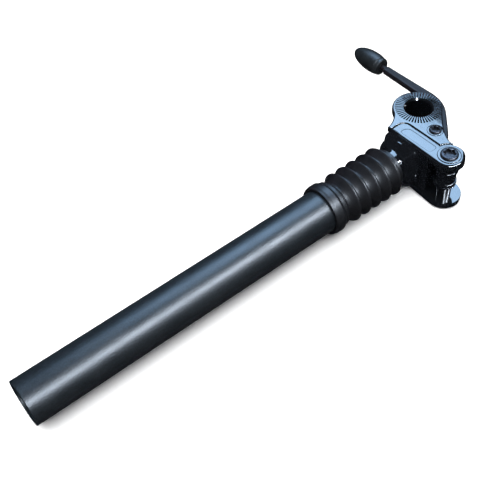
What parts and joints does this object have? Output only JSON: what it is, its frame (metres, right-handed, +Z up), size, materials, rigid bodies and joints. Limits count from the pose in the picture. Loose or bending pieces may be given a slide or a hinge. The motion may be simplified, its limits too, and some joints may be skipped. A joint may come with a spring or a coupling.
{
  "type": "suspension seatpost",
  "caption": "Telescopic bicycle seatpost with a bellows boot, and a head that a rear lever releases to tip forward about a hinge.",
  "frame": {"origin": "under the middle of the whole object, on the surface that it lies on", "axes": "+X along the post from its bottom end to the head, +Y to the rear of the bicycle where the lever points, +Z up from the surface, along the hinge pins"},
  "size_m": [0.3334, 0.141, 0.0379],
  "materials": {
    "post_paint": "satin black",
    "head_gloss": "gloss black",
    "lever_paint": "satin black",
    "boot_rubber": "matte",
    "knob_rubber": "matte",
    "bare_alloy": "machined",
    "steel": "ground",
    "black_steel": "black oxide",
    "nylon": "moulded",
    "bronze": "sintered",
    "urethane": "cast"
  },
  "bodies": {
    "post": {"outer_tube": "post_paint", "guide_bushing": "nylon", "guide_key_1": "steel", "guide_key_2": "steel", "topout_bumper": "boot_rubber", "top_collar": "bare_alloy", "wiper_seal": "boot_rubber", "boot": "boot_rubber", "main_spring": "steel"},
    "spring_seat": {"lower_spring_seat": "nylon", "elastomer": "urethane"},
    "adjuster": {"preload_plug": "bare_alloy"},
    "shaft": {"stanchion": "bare_alloy", "lower_slider": "nylon", "upper_spring_seat": "nylon", "bracket": "head_gloss", "shaft_set_screw": "black_steel", "latch_pin": "steel", "rest_pad_1": "boot_rubber", "rest_pad_2": "boot_rubber", "hinge_bolt": "black_steel", "hinge_washer": "steel"},
    "head": {"tilt_head": "head_gloss", "hinge_bush_near": "nylon", "hinge_bush_far": "nylon", "lever_pivot_bolt": "black_steel", "lever_spacer": "bronze", "lever_return_spring": "steel"},
    "lever": {"lever": "lever_paint", "lever_knob": "knob_rubber", "lever_washer_near": "nylon", "lever_washer_far": "nylon"}
  },
  "joints": [
    {"name": "suspension", "type": "slide", "parent": "post", "child": "shaft", "axis": [-1, 0, 0], "range_m": [0, 0.03], "stiffness_N_per_m": 12000, "springref_m": -0.01, "deforming": ["boot", "main_spring"]},
    {"name": "head_tilt", "type": "hinge", "parent": "shaft", "child": "head", "pos_m": [0.1127, -0.0595, 0.018], "axis": [0, 0, -1], "range_deg": [0, 80]},
    {"name": "lever_pull", "type": "hinge", "parent": "head", "child": "lever", "pos_m": [0.1227, -0.0387, 0.018], "axis": [0, 0, -1], "range_deg": [0, 20], "stiffness_Nm_per_rad": 0.5, "springref_deg": -20.05, "deforming": ["lever_return_spring"]},
    {"name": "seat_lift", "type": "slide", "parent": "post", "child": "spring_seat", "axis": [1, 0, 0], "range_m": [0, 0.006]},
    {"name": "adjuster_turn", "type": "hinge", "parent": "spring_seat", "child": "adjuster", "pos_m": [-0.1557, -0.0307, 0.018], "axis": [1, 0, 0], "range_deg": [0, 1440]}
  ],
  "couplings": [
    {"joint": "adjuster_turn", "follows": "seat_lift", "rad_per_m": 4188.8}
  ]
}
